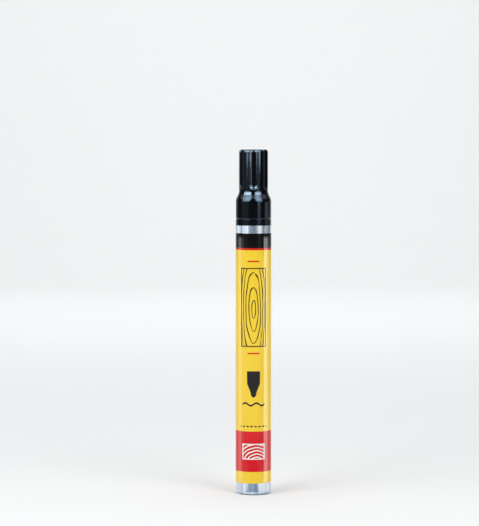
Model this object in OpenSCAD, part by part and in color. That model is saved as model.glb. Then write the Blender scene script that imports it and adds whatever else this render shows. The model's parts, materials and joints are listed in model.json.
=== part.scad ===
// Valve-action wood stain marker, standing on its base with the tip up.
// An aluminium barrel holds the stain and two mixing balls. A plastic neck pressed into its mouth
// carries the nib holder and a spring-loaded valve, which opens while the nib is pressed down.
// A fluted push-on cap, with a sealing liner inside it, covers the tip and seats on the neck's flange.
// Lengths are in millimetres, heights are measured up from the base, and every piece is turned about +Z.

/* [Barrel] */
// Outside diameter of the barrel, which the flange and the cap's skirt follow
barrel_d = 15; // [14:0.1:20]
// Height of the barrel from its base to its mouth
barrel_h = 113.9; // [80:0.1:150]
// Thickness of the barrel's wall
barrel_wall = 0.5; // [0.3:0.05:1]
// Thickness of the barrel's closed base
base_thick = 0.8; // [0.5:0.05:2]
// Outside radius of the rounded edge round the base
base_round = 1.6; // [0.8:0.1:3]

/* [Label] */
// Thickness of the wrap-round label film
label_thick = 0.06; // [0.05:0.01:0.2]
// Bare metal left below the label
label_bottom_gap = 5; // [2:0.1:20]
// Bare metal left between the label and the neck's flange
label_top_gap = 3.3; // [1:0.1:20]
// Width of the seam where the film's end laps over its start, at the back
label_lap = 3; // [1:0.1:6]
// Height of the dark header band at the label's top
header_h = 6.2; // [3:0.1:20]
// Height of the thin stripe under the header
stripe_h = 0.8; // [0.3:0.1:3]
// Ground colour left below the shade band
shade_gap = 4.9; // [1:0.1:15]
// Height of the shade band
shade_h = 17.2; // [5:0.1:30]

/* [Neck] */
// Depth of the plug inside the barrel
plug_h = 12; // [10:0.1:16]
// Wall of the plug round the valve sleeve
plug_wall = 1.4; // [0.8:0.1:2]
// Number of grooves between the plug's sealing lands
seal_grooves = 3; // [1:1:4]
// Height of each groove
seal_groove_h = 1.4; // [0.6:0.1:2]
// Depth of each groove
seal_groove_depth = 0.35; // [0.1:0.05:0.6]
// Height of the flange between the barrel and the cap
flange_h = 2.6; // [1.5:0.1:6]
// Height of the seat that the cap slides over
seat_h = 6.5; // [5:0.1:10]
// Wall of the seat round the nib holder's spigot
seat_wall = 1.9; // [1:0.1:2.4]
// How far the snap bead stands out of the seat
bead_out = 0.2; // [0.05:0.05:0.2]
// Thickness left over the valve sleeve inside the flange
shoulder_drop = 1; // [0.5:0.1:2]

/* [Nib holder] */
// Depth of the spigot inside the neck
spigot_h = 5; // [3:0.1:6]
// Wall of the spigot
spigot_wall = 1.2; // [0.6:0.1:1.5]
// Height of the wide chamber inside the spigot
chamber_h = 3; // [1:0.1:4]
// Width of the neck's top face left round the holder's foot
foot_step = 0.7; // [0.3:0.1:1.5]
// Height of the cone
nose_cone_h = 4; // [2:0.1:6]
// Height of the straight tip above the cone
nose_tip_h = 5.6; // [3:0.1:10]
// Wall of the tip round the nib
nose_wall = 1.1; // [0.7:0.1:2]
// Number of air grooves along the nib
air_grooves = 4; // [2:1:8]
// Radius of each air groove
air_groove_r = 0.4; // [0.2:0.05:0.6]

/* [Nib] */
// Diameter of the felt nib
nib_d = 4.6; // [3:0.1:6]
// Length of nib that shows above the holder
nib_out = 6; // [4:0.1:9]
// Height of the nib's rounded point
bullet_h = 3.4; // [1.5:0.1:3.8]
// Gap round the nib in its holder
nib_fit = 0.1; // [0.05:0.01:0.2]

/* [Valve] */
// How far the nib and the valve rod travel when pressed
stroke = 2; // [1:0.1:3]
// Room left between the pressed nib and the valve sleeve
tail_gap = 1.1; // [0.3:0.1:2]
// Height of the valve sleeve
sleeve_h = 12.2; // [10:0.1:12.8]
// Thickness of the sleeve's top wall, which holds the valve seat
sleeve_top = 2.2; // [1.8:0.1:3]
// Wall of the sleeve
sleeve_wall = 0.8; // [0.5:0.05:1.4]
// Diameter of the hole through the sleeve's top wall
valve_hole_d = 4.2; // [3:0.1:5]
// Width of the 45 degree valve seat
valve_seat_w = 1.2; // [0.6:0.1:1.4]
// Gap between the sealing ring and its seat
valve_gap = 0.1; // [0.05:0.01:0.2]
// Height of the sealing ring's straight edge
seal_edge = 0.2; // [0.1:0.05:0.5]
// Gap round the rod's stem in its hole
stem_fit = 0.15; // [0.05:0.01:0.3]
// Number of flow channels along the stem
flow_channels = 4; // [2:1:6]
// Radius of each flow channel
flow_channel_r = 0.7; // [0.3:0.05:0.8]
// Thickness of the head that carries the sealing ring
head_h = 0.8; // [0.4:0.1:1.5]
// Diameter of the rod's guide pin
pin_d = 3.2; // [2:0.1:3.4]
// Gap round the guide pin in the retainer
pin_fit = 0.15; // [0.05:0.01:0.3]
// Thickness of the spring retainer
retainer_h = 1.2; // [0.8:0.1:2]
// Depth of the retainer inside the sleeve's open end
retainer_inset = 0.8; // [0.2:0.1:1.5]
// Number of flow windows through the retainer
windows = 6; // [3:1:8]
// Diameter of each flow window
window_d = 1.6; // [0.8:0.1:1.8]

/* [Spring] */
// Diameter of the spring's wire
wire_d = 0.5; // [0.3:0.05:0.7]
// Gap between the spring and the guide pin
spring_fit = 0.4; // [0.2:0.05:0.6]
// Number of turns, with one closed turn at each end
spring_turns = 6; // [4:1:8]

/* [Cap] */
// Wall of the cap's skirt
cap_wall = 1.15; // [0.8:0.05:2]
// Gap between the cap's bore and the neck's seat
cap_fit = 0.25; // [0.25:0.05:0.4]
// Gap between the cap's rim and the neck's flange
cap_gap = 0.1; // [0.05:0.05:0.3]
// Height from the top of the neck's seat to the start of the cap's shoulder
cap_headroom = 1.6; // [0.8:0.1:4]
// Height of the sloping shoulder
shoulder_h = 2.2; // [1:0.1:4]
// Radius of the hollow above the shoulder
shoulder_hollow = 2.5; // [0.5:0.1:4]
// Radius of the round below the shoulder
shoulder_round = 2; // [0.5:0.1:4]
// Wall between the flutes and the liner
cap_top_wall = 0.9; // [0.6:0.1:1.5]
// Thickness of the cap's closed end
cap_end = 1.5; // [1:0.1:3]
// Radius of the round at the closed end
cap_end_round = 1; // [0.3:0.1:1.5]
// Radius of the round at the cap's rim
rim_round = 0.35; // [0.1:0.05:0.5]
// Number of flutes round the cap
flutes = 6; // [3:1:6]
// Radius of the flutes' hollow
flute_r = 3; // [2:0.1:4]
// Depth of the flutes
flute_depth = 0.8; // [0.3:0.05:1]
// Plain height between the shoulder and the flutes' round ends
flute_gap = 2; // [1:0.1:5]
// Width of the bevel where a flute runs out at the closed end
flute_flare = 0.5; // [0.1:0.1:0.8]

/* [Cap liner] */
// Wall of the liner
liner_wall = 0.8; // [0.5:0.05:1.2]
// Gap between the liner and the nib holder's tip
liner_fit = 0.1; // [0.05:0.01:0.2]
// Thickness of the liner's closed end
liner_end = 0.8; // [0.5:0.1:1.5]
// Height of the liner's mouth above the nib holder's cone
liner_gap = 0.4; // [0.2:0.1:1]
// Room left over the nib's point
nib_headroom = 4.9; // [3:0.1:8]

/* [Mixing balls] */
// Diameter of each steel ball
ball_d = 5.5; // [4:0.1:6]
// Gap left round each ball
ball_gap = 0.15; // [0.1:0.05:0.4]

/* [Hidden] */
$fn = 96;
over = 1;          // how far a cutter runs past the face it cuts
arc_steps = 10;    // chords in a rounded edge
chamfer = 0.3;     // small bevel on moulded edges
wire_sides = 8;    // sides of the spring's wire
turn_steps = 20;   // rings in one turn of the spring

// Colours
metal = [0.80, 0.82, 0.84];
steel = [0.62, 0.64, 0.67];
ground_yellow = [0.95, 0.80, 0.25];
print_black = [0.06, 0.05, 0.05];
print_red = [0.82, 0.16, 0.19];
moulded_black = [0.05, 0.05, 0.06];
rubber_black = [0.10, 0.10, 0.10];
natural_white = [0.90, 0.89, 0.86];
felt_white = [0.93, 0.92, 0.88];

// Radii, worked from the barrel inwards
barrel_r = barrel_d / 2;
bore_r = barrel_r - barrel_wall;
sleeve_r = bore_r - plug_wall;
sleeve_bore_r = sleeve_r - sleeve_wall;
cap_bore_r = barrel_r - cap_wall;
seat_r = cap_bore_r - cap_fit;
spigot_r = seat_r - seat_wall;
foot_r = seat_r - foot_step;

// Radii, worked from the nib outwards
nib_r = nib_d / 2;
guide_r = nib_r + nib_fit;
nose_r = guide_r + nose_wall;
liner_bore_r = nose_r + liner_fit;
liner_r = liner_bore_r + liner_wall;
cap_top_r = liner_r + cap_top_wall + flute_depth;

// Radii of the valve
hole_r = valve_hole_d / 2;
stem_r = hole_r - stem_fit;
head_r = stem_r + valve_seat_w;
pin_r = pin_d / 2;
wire_r = wire_d / 2;
coil_r = pin_r + spring_fit + wire_r;
window_ring_r = (pin_r + pin_fit + sleeve_bore_r) / 2;

// Heights of the barrel, the label and the neck
label_z = label_bottom_gap;
label_top_z = barrel_h - label_top_gap;
shade_z = label_z + shade_gap;
shade_top_z = shade_z + shade_h;
header_z = label_top_z - header_h;
stripe_z = header_z - stripe_h;
plug_z = barrel_h - plug_h;
flange_z = barrel_h + flange_h;
seat_z = flange_z + seat_h;
bead_z = flange_z + seat_h / 2;
shoulder_z = flange_z - shoulder_drop;

// Heights of the nib, its holder and the valve
cone_z = seat_z + nose_cone_h;
nose_z = cone_z + nose_tip_h;
nib_z = nose_z + nib_out;
tail_z = shoulder_z + stroke + tail_gap;
sleeve_z = shoulder_z - sleeve_h;
ceiling_z = shoulder_z - sleeve_top;
seat_cone_z = ceiling_z + valve_seat_w;
seal_top_z = seat_cone_z + stem_fit - valve_gap * sqrt(2);
seal_z = seal_top_z - valve_seat_w - seal_edge;
head_z = seal_z - head_h;
retainer_z = sleeve_z + retainer_inset;
spring_z = retainer_z + retainer_h;

// Heights of the cap and its liner
cap_z = flange_z + cap_gap;
cap_shoulder_z = seat_z + cap_headroom;
cap_top_z = cap_shoulder_z + shoulder_h;
liner_z = cone_z + liner_gap;
liner_ceiling_z = nib_z + nib_headroom;
liner_top_z = liner_ceiling_z + liner_end;
end_z = liner_top_z + cap_end;

// Points of an arc about a centre, from one angle to another
function arc(centre, r, from, to) =
    [for (i = [0 : arc_steps]) let (a = from + (to - from) * i / arc_steps)
        centre + r * [cos(a), sin(a)]];

// A solid turned about +Z from its half outline of [radius, height] points
module turned(outline) rotate_extrude() polygon(outline);

// A ring from one radius to another
module band(inner_r, outer_r, z, h)
    translate([0, 0, z]) rotate_extrude() translate([inner_r, 0]) square([outer_r - inner_r, h]);

// Copies of a cutter, evenly spaced round the axis, the first of them at the front
module round_axis(count, r) for (i = [0 : count - 1])
    rotate([0, 0, i * 360 / count - 90]) translate([r, 0, 0]) children();

// The label's cross-section: one turn of film, whose end laps over its start at the back
module label_section() {
    half_angle = label_lap / barrel_r * 90 / PI;
    reach = 2 * barrel_r;
    difference() {
        union() {
            circle(barrel_r + label_thick);
            intersection() {
                circle(barrel_r + 2 * label_thick);
                polygon([[0, 0], [reach * tan(half_angle), reach], [-reach * tan(half_angle), reach]]);
            }
        }
        circle(barrel_r);
    }
}

// One printed zone of the label
module label_zone(colour, z, top)
    color(colour) translate([0, 0, z]) linear_extrude(top - z) label_section();

module barrel() {
    inside_round = max(base_round - barrel_wall, chamfer);
    inside = [bore_r - inside_round, base_thick + inside_round];
    color(metal) turned(concat(
        [[0, 0]],
        arc([barrel_r - base_round, base_round], base_round, -90, 0),
        [[barrel_r, barrel_h], [bore_r, barrel_h]],
        arc(inside, inside_round, 0, -90),
        [[0, base_thick]]
    ));
}

module label() {
    label_zone(ground_yellow, label_z, shade_z);
    label_zone(print_red, shade_z, shade_top_z);
    label_zone(ground_yellow, shade_top_z, stripe_z);
    label_zone(print_red, stripe_z, header_z);
    label_zone(print_black, header_z, label_top_z);
}

module neck() {
    bead_w = 2 * bead_out;
    groove_pitch = plug_h / (seal_grooves + 1);
    color(moulded_black) difference() {
        turned([
            [sleeve_r, plug_z], [bore_r - chamfer, plug_z], [bore_r, plug_z + chamfer],
            [bore_r, barrel_h], [barrel_r, barrel_h],
            [barrel_r, flange_z - chamfer], [barrel_r - chamfer, flange_z], [seat_r, flange_z],
            [seat_r, bead_z - bead_w], [seat_r + bead_out, bead_z - bead_out],
            [seat_r + bead_out, bead_z + bead_out], [seat_r, bead_z + bead_w],
            [seat_r, seat_z - chamfer], [seat_r - chamfer, seat_z], [spigot_r, seat_z],
            [spigot_r, shoulder_z], [sleeve_r, shoulder_z]
        ]);
        for (i = [1 : seal_grooves])
            band(bore_r - seal_groove_depth, bore_r + over,
                 plug_z + i * groove_pitch - seal_groove_h / 2, seal_groove_h);
    }
}

module nib_holder() {
    chamber_r = max(spigot_r - spigot_wall, guide_r);
    spigot_z = seat_z - spigot_h;
    chamber_z = spigot_z + chamber_h;
    color(moulded_black) difference() {
        turned(concat(
            [[chamber_r, spigot_z], [spigot_r, spigot_z], [spigot_r, seat_z],
             [foot_r, seat_z], [foot_r, seat_z + chamfer], [nose_r, cone_z]],
            arc([nose_r - chamfer, nose_z - chamfer], chamfer, 0, 90),
            [[guide_r, nose_z], [guide_r, chamber_z + chamber_r - guide_r], [chamber_r, chamber_z]]
        ));
        round_axis(air_grooves, guide_r)
            translate([0, 0, spigot_z]) cylinder(r = air_groove_r, h = nose_z - spigot_z + over);
    }
}

module nib() {
    bullet_z = nib_z - bullet_h;
    color(felt_white) turned(concat(
        [[0, tail_z], [nib_r - chamfer, tail_z], [nib_r, tail_z + chamfer]],
        [for (i = [0 : arc_steps]) let (a = 90 * i / arc_steps)
            [nib_r * cos(a), bullet_z + bullet_h * sin(a)]]
    ));
}

module valve_sleeve() {
    color(natural_white) turned([
        [sleeve_bore_r, sleeve_z], [sleeve_r - chamfer, sleeve_z], [sleeve_r, sleeve_z + chamfer],
        [sleeve_r, shoulder_z], [hole_r, shoulder_z], [hole_r, seat_cone_z],
        [hole_r + valve_seat_w, ceiling_z], [sleeve_bore_r, ceiling_z]
    ]);
}

module valve_rod() {
    pin_z = retainer_z + chamfer;
    color(natural_white) difference() {
        turned([
            [0, pin_z], [pin_r - chamfer, pin_z], [pin_r, pin_z + chamfer], [pin_r, head_z],
            [head_r, head_z], [head_r, seal_z], [stem_r, seal_z],
            [stem_r, tail_z], [0, tail_z]
        ]);
        round_axis(flow_channels, stem_r + flow_channel_r / 2)
            translate([0, 0, seal_top_z]) cylinder(r = flow_channel_r, h = tail_z - seal_top_z + over);
    }
}

// The soft ring on the rod's head, whose cone closes on the seat
module valve_seal() {
    color(rubber_black) turned([
        [stem_r, seal_z], [head_r, seal_z], [head_r, seal_z + seal_edge], [stem_r, seal_top_z]
    ]);
}

// Height of the spring's centreline after a number of turns, with the end turns closed
function coil_height(turn) =
    let (low = spring_z + wire_r, high = head_z - wire_r,
         pitch = (high - low - 2 * wire_d) / (spring_turns - 2))
    turn < 1 ? low + turn * wire_d
    : turn > spring_turns - 1 ? high - (spring_turns - turn) * wire_d
    : low + wire_d + (turn - 1) * pitch;

module valve_spring() {
    rings = spring_turns * turn_steps;
    points = [for (i = [0 : rings], k = [0 : wire_sides - 1])
        let (turn = i / turn_steps, a = 360 * turn, b = 360 * k / wire_sides,
             r = coil_r + wire_r * cos(b))
        [r * cos(a), r * sin(a), coil_height(turn) + wire_r * sin(b)]];
    sides = [for (i = [0 : rings - 1], k = [0 : wire_sides - 1])
        let (next = (k + 1) % wire_sides, here = i * wire_sides, there = here + wire_sides)
        [here + k, there + k, there + next, here + next]];
    first_end = [for (k = [0 : wire_sides - 1]) k];
    last_end = [for (k = [0 : wire_sides - 1]) (rings + 1) * wire_sides - 1 - k];
    color(steel) polyhedron(points, concat(sides, [first_end, last_end]));
}

module spring_retainer() {
    color(natural_white) difference() {
        band(pin_r + pin_fit, sleeve_bore_r, retainer_z, retainer_h);
        round_axis(windows, window_ring_r)
            translate([0, 0, retainer_z - over]) cylinder(d = window_d, h = retainer_h + 2 * over);
    }
}

// The cutter of one flute: round at its lower end, and opening out where it leaves the cap
module flute_cutter() {
    end_drop = sqrt(flute_r ^ 2 - (flute_r - flute_depth) ^ 2);
    ball_z = cap_top_z + flute_gap + end_drop;
    turned(concat(
        arc([0, ball_z], flute_r, -90, 0),
        [[flute_r, end_z - flute_flare], [flute_r + flute_flare + over, end_z + over], [0, end_z + over]]
    ));
}

module cap() {
    slope = atan2(barrel_r - cap_top_r, shoulder_h);
    hollow_run = shoulder_hollow * tan(slope / 2);
    round_run = shoulder_round * tan(slope / 2);
    groove_w = 3 * bead_out;
    color(moulded_black) difference() {
        turned(concat(
            [[cap_bore_r, cap_z]],
            arc([barrel_r - rim_round, cap_z + rim_round], rim_round, -90, 0),
            arc([barrel_r - shoulder_round, cap_shoulder_z - round_run], shoulder_round, 0, slope),
            arc([cap_top_r + shoulder_hollow, cap_top_z + hollow_run], shoulder_hollow, 180 + slope, 180),
            arc([cap_top_r - cap_end_round, end_z - cap_end_round], cap_end_round, 0, 90),
            [[0, end_z], [0, liner_top_z], [liner_r, liner_top_z], [liner_r, cone_z],
             [cap_bore_r, seat_z + chamfer],
             [cap_bore_r, bead_z + groove_w], [cap_bore_r + bead_out, bead_z + bead_out],
             [cap_bore_r + bead_out, bead_z - bead_out], [cap_bore_r, bead_z - groove_w]]
        ));
        round_axis(flutes, cap_top_r - flute_depth + flute_r) flute_cutter();
    }
}

module cap_liner() {
    color(natural_white) turned([
        [liner_bore_r + chamfer, liner_z], [liner_r, liner_z], [liner_r, liner_top_z], [0, liner_top_z],
        [0, liner_ceiling_z], [liner_bore_r, liner_ceiling_z], [liner_bore_r, liner_z + chamfer]
    ]);
}

// One of the two balls, lying side by side on the barrel's floor
module mixing_ball(side) {
    ball_r = ball_d / 2;
    color(steel) translate([side * (ball_r + ball_gap), 0, base_thick + ball_r + ball_gap]) sphere(ball_r);
}

barrel();
label();
neck();
nib_holder();
nib();
valve_sleeve();
valve_rod();
valve_seal();
valve_spring();
spring_retainer();
cap();
cap_liner();
mixing_ball(-1);  // mixing_ball_a
mixing_ball(1);  // mixing_ball_b
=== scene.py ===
"""Looks of a valve-action wood stain marker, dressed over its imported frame.

The marker stands on its base with its axis on +Z, and the front of its label faces -Y.
Sizes are in millimetres and become metres where a mesh, a light or the camera is made.
"""

import json
import logging
import math
from dataclasses import dataclass
from enum import Enum
from functools import lru_cache, partial
from typing import Callable, Optional, Union

import bmesh
import bpy
from bpy.types import Material, NodeSocket, Object
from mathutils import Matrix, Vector, noise


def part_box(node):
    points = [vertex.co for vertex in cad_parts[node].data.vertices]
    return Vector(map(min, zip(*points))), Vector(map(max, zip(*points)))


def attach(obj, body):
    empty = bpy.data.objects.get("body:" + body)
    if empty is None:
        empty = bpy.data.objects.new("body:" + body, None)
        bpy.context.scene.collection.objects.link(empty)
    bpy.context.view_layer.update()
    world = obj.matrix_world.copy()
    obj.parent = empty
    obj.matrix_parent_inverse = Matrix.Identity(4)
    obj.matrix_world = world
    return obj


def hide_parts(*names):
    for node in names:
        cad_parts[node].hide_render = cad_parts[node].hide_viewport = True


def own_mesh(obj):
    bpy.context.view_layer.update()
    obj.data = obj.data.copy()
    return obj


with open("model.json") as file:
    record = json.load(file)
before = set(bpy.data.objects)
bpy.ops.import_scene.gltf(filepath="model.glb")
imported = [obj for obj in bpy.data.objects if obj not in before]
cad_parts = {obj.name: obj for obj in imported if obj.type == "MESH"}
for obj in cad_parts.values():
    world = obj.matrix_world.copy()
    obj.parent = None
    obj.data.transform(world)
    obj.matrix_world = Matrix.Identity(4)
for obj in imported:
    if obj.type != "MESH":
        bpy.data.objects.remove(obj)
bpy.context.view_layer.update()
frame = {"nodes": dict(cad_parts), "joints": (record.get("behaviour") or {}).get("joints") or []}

LOG = logging.getLogger("stain_marker")
MM = 0.001

# Divisions of a turned piece round the axis, and chords of an arc in its outline
ROUND_STEPS = 192
ARC_STEPS = 8

# Distance from a rounded edge at which one more ring holds the smooth shading, on runs long enough for two
HOLD = 0.06
LONG_RUN = 4 * HOLD

# Angle between two faces from which their edge is shaded sharp
CREASE = math.radians(50)

# Span that nearly all of a noise lies in
NOISE_SPAN = (0.3, 0.7)

# Numbers of a Mix node's sockets for the share and the two colours, and for the mixed colour
MIX_INPUTS = (0, 6, 7)
MIX_OUTPUT = 2

# Power of an area lamp for each unit of radiance and area
LAMP_POWER = 4.0

Point = tuple[float, float]
Profile = list[Point]
Place = tuple[float, float, float]
Colour = tuple[float, float, float]
Row = list[int]
Shaper = Callable[[float, float, float], float]
Term = Union[float, Colour, "Value"]


class Gloss(Enum):
    """How the mould that made a black plastic piece was finished."""

    POLISHED = "polished"
    SATIN = "satin"


def linear(level: int) -> float:
    """Turn a level of a screen colour, from 0 to 255, into the linear level that a shader takes."""
    share = level / 255
    return ((share + 0.055) / 1.055) ** 2.4 if share > 0.04045 else share / 12.92


def srgb(red: int, green: int, blue: int) -> Colour:
    """Turn a screen colour into the linear colour that a shader takes."""
    return linear(red), linear(green), linear(blue)


@lru_cache(maxsize=None)
def low_mm(node: str) -> Vector:
    """Lowest corner of a node of the frame, in millimetres."""
    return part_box(node)[0] / MM


@lru_cache(maxsize=None)
def high_mm(node: str) -> Vector:
    """Highest corner of a node of the frame, in millimetres."""
    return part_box(node)[1] / MM


def spaced(first: float, last: float, count: int) -> list[float]:
    """Give evenly spaced numbers from first to last, both included."""
    return [first + (last - first) * i / (count - 1) for i in range(count)]


def angles(first: float, last: float, count: int) -> list[float]:
    """Give evenly spaced angles in radians, from a first one to a last one in degrees."""
    return [math.radians(angle) for angle in spaced(first, last, count)]


def eased(share: float) -> float:
    """Ease a share in and out, held at 0 and at 1."""
    inside = min(max(share, 0.0), 1.0)
    return inside * inside * (3 - 2 * inside)


def blended_min(first: float, second: float, blend: float) -> float:
    """Give the smaller of two numbers, with the change between them rounded over a blend."""
    near = max(blend - abs(first - second), 0.0)
    return min(first, second) - near * near / blend / 4


def arc(centre: Point, radius: float, start: float, end: float, steps: int = ARC_STEPS) -> Profile:
    """Give the points of an arc about a centre of radius and height, between two angles in degrees."""
    turns = angles(start, end, steps + 1)
    return [(centre[0] + radius * math.cos(a), centre[1] + radius * math.sin(a)) for a in turns]


def bend(start: Point, radius: float, lean_from: float, lean_to: float) -> Profile:
    """Give the points of an outline that runs down and turns from one lean to another.

    Args:
        start: Radius and height where the bend starts.
        radius: Radius of the bend.
        lean_from: Outward lean of the run at the start, in degrees from straight down.
        lean_to: Outward lean at the end.

    Returns:
        The points from start to end.
    """
    way = radius if lean_to > lean_from else -radius
    leans = angles(lean_from, lean_to, ARC_STEPS + 1)
    centre_r = start[0] + way * math.cos(leans[0])
    centre_z = start[1] + way * math.sin(leans[0])
    return [(centre_r - way * math.cos(a), centre_z - way * math.sin(a)) for a in leans]


def leaned(start: Point, lean: float, drop: float) -> Point:
    """Give the end of a straight run down an outline, at an outward lean in degrees over a drop."""
    return start[0] + drop * math.tan(math.radians(lean)), start[1] - drop


def held(profile: Profile, closed: bool) -> Profile:
    """Add a point near both ends of each long run, which keeps smooth shading inside the rounds.

    Args:
        profile: Points of radius and height.
        closed: Whether the last point runs on to the first.

    Returns:
        The outline with the added points.
    """
    result: Profile = []
    ends = profile[1:] + (profile[:1] if closed else [])
    for (r0, z0), (r1, z1) in zip(profile, ends):
        result.append((r0, z0))
        length = math.hypot(r1 - r0, z1 - z0)
        if length > LONG_RUN:
            for share in (HOLD / length, 1 - HOLD / length):
                result.append((r0 + (r1 - r0) * share, z0 + (z1 - z0) * share))
    return result if closed else result + profile[-1:]


def numbered(rows: int, count: int) -> list[Row]:
    """Number the corners of a mesh row by row, with a count of corners in each."""
    return [list(range(row * count, (row + 1) * count)) for row in range(rows)]


def woven(rows: list[Row], closed: bool = True) -> list[Row]:
    """Join rows of corners into faces, each row with the next.

    Args:
        rows: Corner numbers, as many in each row; a row that is one point repeats its number.
        closed: Whether a row runs on from its last corner to its first.

    Returns:
        The corner numbers of each face.
    """
    faces = []
    for here, there in zip(rows, rows[1:]):
        for k in range(len(here) if closed else len(here) - 1):
            after = (k + 1) % len(here)
            corners = (here[k], here[after], there[after], there[k])
            faces.append(list(dict.fromkeys(corners)))
    return faces


def mesh_object(name: str, points: list[Place], faces: list[Row]) -> Object:
    """Make a smooth-shaded object with its normals pointing outwards.

    Args:
        name: Name of the object and its mesh.
        points: Corners in millimetres.
        faces: Corner numbers of each face.

    Returns:
        The object, linked to the scene.
    """
    mesh = bpy.data.meshes.new(name)
    mesh.from_pydata([(x * MM, y * MM, z * MM) for x, y, z in points], [], faces)
    shell = bmesh.new()
    shell.from_mesh(mesh)
    bmesh.ops.recalc_face_normals(shell, faces=shell.faces)
    shell.to_mesh(mesh)
    shell.free()
    mesh.shade_smooth()
    mesh.set_sharp_from_angle(angle=CREASE)
    made = bpy.data.objects.new(name, mesh)
    bpy.context.scene.collection.objects.link(made)
    return made


def turned(name: str, profile: Profile, steps: int = ROUND_STEPS, shape: Optional[Shaper] = None) -> Object:
    """Turn a half outline about the marker's axis.

    Args:
        name: Name of the new object.
        profile: Points of radius and height; an outline that starts off the axis closes into a ring.
        steps: Divisions round the axis.
        shape: Gives the radius for an angle, a radius and a height where the piece isn't round.

    Returns:
        The new object.
    """
    closed = profile[0][0] > 0
    points: list[Place] = []
    rings: list[Row] = []
    for radius, height in held(profile, closed):
        if radius == 0:
            rings.append([len(points)] * steps)
            points.append((0.0, 0.0, height))
            continue
        rings.append(list(range(len(points), len(points) + steps)))
        for step in range(steps):
            angle = math.tau * step / steps
            reach = shape(angle, radius, height) if shape else radius
            points.append((reach * math.cos(angle), reach * math.sin(angle), height))
    return mesh_object(name, points, woven(rings + rings[:1] if closed else rings))


def dress(piece: Object, body: str, slot: str, material: Material, *nodes: str) -> None:
    """Give a new piece its finish and set it on its body in place of the frame's own nodes.

    Args:
        piece: The new object.
        body: Name of the body that it rides on.
        slot: Not used.
        material: The finish.
        nodes: Nodes of the frame that the piece stands for.
    """
    piece.data.materials.append(material)
    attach(piece, body)
    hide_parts(*nodes)
    LOG.info("built %s, which rides on %s", piece.name, body)


def repaint(node: str, material: Material) -> None:
    """Give a node that keeps its own shape a better finish.

    Args:
        node: Name of the node.
        material: The finish.
    """
    slots = frame["nodes"][node].material_slots
    if not slots:
        frame["nodes"][node].data.materials.append(material)
    for slot in slots:
        slot.material = material
    LOG.info("finished %s", node)


@dataclass(frozen=True)
class Grain:
    """A noise: its features per millimetre across and along the marker's axis, and its finer octaves."""

    across: float
    along: float
    detail: float = 2.0


class Value:
    """A number or a colour that a material works out at each point of a surface."""

    def __init__(self, graph: "Graph", socket: NodeSocket) -> None:
        """Keep the material's graph and the socket that gives the value."""
        self.graph = graph
        self.socket = socket

    def __add__(self, other: Term) -> "Value":
        """Add a number."""
        return self.graph.compute("ADD", self, other)

    def __sub__(self, other: Term) -> "Value":
        """Take a number away."""
        return self.graph.compute("SUBTRACT", self, other)

    def __mul__(self, other: Term) -> "Value":
        """Multiply by a number."""
        return self.graph.compute("MULTIPLY", self, other)

    def __truediv__(self, other: Term) -> "Value":
        """Divide by a number."""
        return self.graph.compute("DIVIDE", self, other)

    def __abs__(self) -> "Value":
        """Drop the sign."""
        return self.graph.compute("ABSOLUTE", self)

    def __and__(self, other: "Value") -> "Value":
        """Keep what two masks share."""
        return self * other

    def __or__(self, other: "Value") -> "Value":
        """Join two masks, or give the larger of two numbers."""
        return self.graph.compute("MAXIMUM", self, other)


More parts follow.
